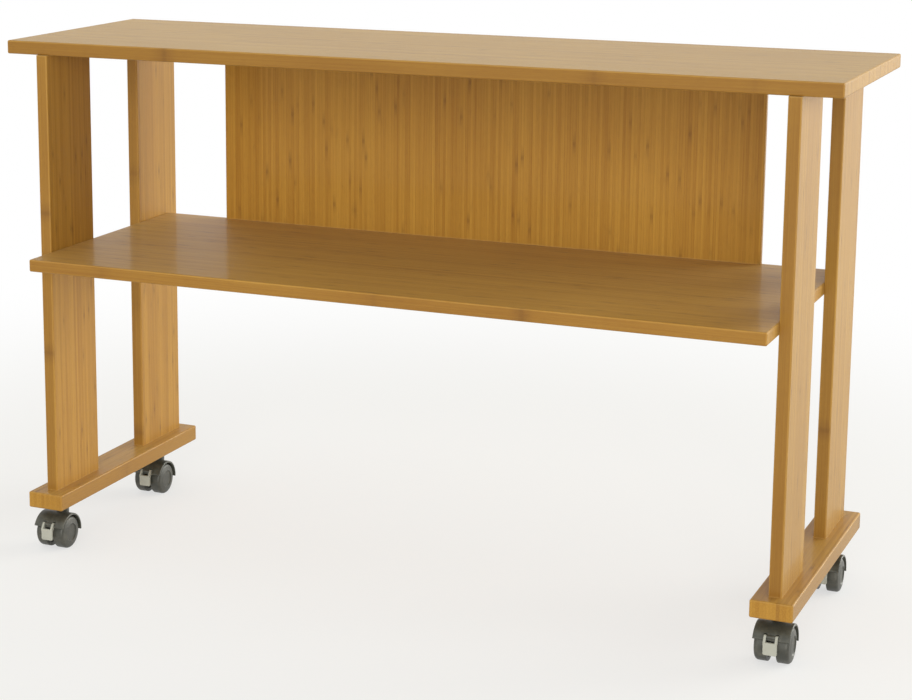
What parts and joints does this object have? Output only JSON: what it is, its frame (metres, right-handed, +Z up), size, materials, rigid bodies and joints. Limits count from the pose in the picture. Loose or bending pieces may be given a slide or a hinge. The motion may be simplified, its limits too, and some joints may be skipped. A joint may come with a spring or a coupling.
{
  "type": "mobile lectern table",
  "caption": "Long narrow standing-height bamboo lectern table on locking swivel casters, with a deep front shelf under the top and a part-width back panel.",
  "frame": {"origin": "on the floor, under the middle of the outline of the whole table", "axes": "+X along the length to the right of a person who stands at the front, +Y to the back panel side, +Z up"},
  "size_m": [1.5, 0.57, 0.943],
  "materials": {
    "bamboo_top": "satin varnished caramel bamboo",
    "bamboo_shelf": "satin varnished caramel bamboo",
    "bamboo_panel": "satin varnished caramel bamboo, narrow strips",
    "bamboo_frame": "satin varnished caramel bamboo",
    "dowel_wood": "plain hardwood",
    "screw_steel": "zinc plated",
    "pin_steel": "bright steel",
    "zinc_plate": "zinc plated",
    "hood_nylon": "moulded nylon, satin",
    "wheel_grey": "moulded, smooth satin tread",
    "lever_grey": "moulded, smooth"
  },
  "bodies": {
    "table": {"back_left_post": "bamboo_frame", "back_panel": "bamboo_panel", "back_right_post": "bamboo_frame", "foot_screws": "screw_steel", "front_left_post": "bamboo_frame", "front_right_post": "bamboo_frame", "left_foot": "bamboo_frame", "panel_dowels": "dowel_wood", "plate_screws": "screw_steel", "right_foot": "bamboo_frame", "shelf": "bamboo_shelf", "shelf_dowels": "dowel_wood", "top_dowels": "dowel_wood", "top_slab": "bamboo_top", "front_left_caster_plate": "zinc_plate", "front_left_caster_kingpin": "pin_steel", "front_left_caster_kingpin_clip": "pin_steel", "back_left_caster_plate": "zinc_plate", "back_left_caster_kingpin": "pin_steel", "back_left_caster_kingpin_clip": "pin_steel", "front_right_caster_plate": "zinc_plate", "front_right_caster_kingpin": "pin_steel", "front_right_caster_kingpin_clip": "pin_steel", "back_right_caster_plate": "zinc_plate", "back_right_caster_kingpin": "pin_steel", "back_right_caster_kingpin_clip": "pin_steel"},
    "front_left_swivel": {"front_left_caster_hood": "hood_nylon", "front_left_caster_axle": "pin_steel"},
    "front_left_left_wheel": {"front_left_caster_left_wheel": "wheel_grey"},
    "front_left_right_wheel": {"front_left_caster_right_wheel": "wheel_grey"},
    "front_left_lock_lever": {"front_left_caster_lock_lever": "lever_grey", "front_left_caster_lever_pin": "pin_steel"},
    "back_left_swivel": {"back_left_caster_hood": "hood_nylon", "back_left_caster_axle": "pin_steel"},
    "back_left_left_wheel": {"back_left_caster_left_wheel": "wheel_grey"},
    "back_left_right_wheel": {"back_left_caster_right_wheel": "wheel_grey"},
    "back_left_lock_lever": {"back_left_caster_lock_lever": "lever_grey", "back_left_caster_lever_pin": "pin_steel"},
    "front_right_swivel": {"front_right_caster_hood": "hood_nylon", "front_right_caster_axle": "pin_steel"},
    "front_right_left_wheel": {"front_right_caster_left_wheel": "wheel_grey"},
    "front_right_right_wheel": {"front_right_caster_right_wheel": "wheel_grey"},
    "front_right_lock_lever": {"front_right_caster_lock_lever": "lever_grey", "front_right_caster_lever_pin": "pin_steel"},
    "back_right_swivel": {"back_right_caster_hood": "hood_nylon", "back_right_caster_axle": "pin_steel"},
    "back_right_left_wheel": {"back_right_caster_left_wheel": "wheel_grey"},
    "back_right_right_wheel": {"back_right_caster_right_wheel": "wheel_grey"},
    "back_right_lock_lever": {"back_right_caster_lock_lever": "lever_grey", "back_right_caster_lever_pin": "pin_steel"}
  },
  "joints": [
    {"name": "front_left_swivel_turn", "type": "hinge", "parent": "table", "child": "front_left_swivel", "pos_m": [-0.676, -0.175, 0.0795], "axis": [0, 0, 1], "continuous": true},
    {"name": "front_left_left_wheel_spin", "type": "hinge", "parent": "front_left_swivel", "child": "front_left_left_wheel", "pos_m": [-0.676, -0.195, 0.03], "axis": [1, 0, 0], "continuous": true},
    {"name": "front_left_right_wheel_spin", "type": "hinge", "parent": "front_left_swivel", "child": "front_left_right_wheel", "pos_m": [-0.676, -0.195, 0.03], "axis": [1, 0, 0], "continuous": true},
    {"name": "front_left_lever_press", "type": "hinge", "parent": "front_left_swivel", "child": "front_left_lock_lever", "pos_m": [-0.676, -0.22485, 0.05013], "axis": [1, 0, 0], "range_deg": [0, 10]},
    {"name": "back_left_swivel_turn", "type": "hinge", "parent": "table", "child": "back_left_swivel", "pos_m": [-0.676, 0.19, 0.0795], "axis": [0, 0, 1], "continuous": true},
    {"name": "back_left_left_wheel_spin", "type": "hinge", "parent": "back_left_swivel", "child": "back_left_left_wheel", "pos_m": [-0.676, 0.17, 0.03], "axis": [1, 0, 0], "continuous": true},
    {"name": "back_left_right_wheel_spin", "type": "hinge", "parent": "back_left_swivel", "child": "back_left_right_wheel", "pos_m": [-0.676, 0.17, 0.03], "axis": [1, 0, 0], "continuous": true},
    {"name": "back_left_lever_press", "type": "hinge", "parent": "back_left_swivel", "child": "back_left_lock_lever", "pos_m": [-0.676, 0.14015, 0.05013], "axis": [1, 0, 0], "range_deg": [0, 10]},
    {"name": "front_right_swivel_turn", "type": "hinge", "parent": "table", "child": "front_right_swivel", "pos_m": [0.676, -0.175, 0.0795], "axis": [0, 0, 1], "continuous": true},
    {"name": "front_right_left_wheel_spin", "type": "hinge", "parent": "front_right_swivel", "child": "front_right_left_wheel", "pos_m": [0.676, -0.195, 0.03], "axis": [1, 0, 0], "continuous": true},
    {"name": "front_right_right_wheel_spin", "type": "hinge", "parent": "front_right_swivel", "child": "front_right_right_wheel", "pos_m": [0.676, -0.195, 0.03], "axis": [1, 0, 0], "continuous": true},
    {"name": "front_right_lever_press", "type": "hinge", "parent": "front_right_swivel", "child": "front_right_lock_lever", "pos_m": [0.676, -0.22485, 0.05013], "axis": [1, 0, 0], "range_deg": [0, 10]},
    {"name": "back_right_swivel_turn", "type": "hinge", "parent": "table", "child": "back_right_swivel", "pos_m": [0.676, 0.19, 0.0795], "axis": [0, 0, 1], "continuous": true},
    {"name": "back_right_left_wheel_spin", "type": "hinge", "parent": "back_right_swivel", "child": "back_right_left_wheel", "pos_m": [0.676, 0.17, 0.03], "axis": [1, 0, 0], "continuous": true},
    {"name": "back_right_right_wheel_spin", "type": "hinge", "parent": "back_right_swivel", "child": "back_right_right_wheel", "pos_m": [0.676, 0.17, 0.03], "axis": [1, 0, 0], "continuous": true},
    {"name": "back_right_lever_press", "type": "hinge", "parent": "back_right_swivel", "child": "back_right_lock_lever", "pos_m": [0.676, 0.14015, 0.05013], "axis": [1, 0, 0], "range_deg": [0, 10]}
  ]
}
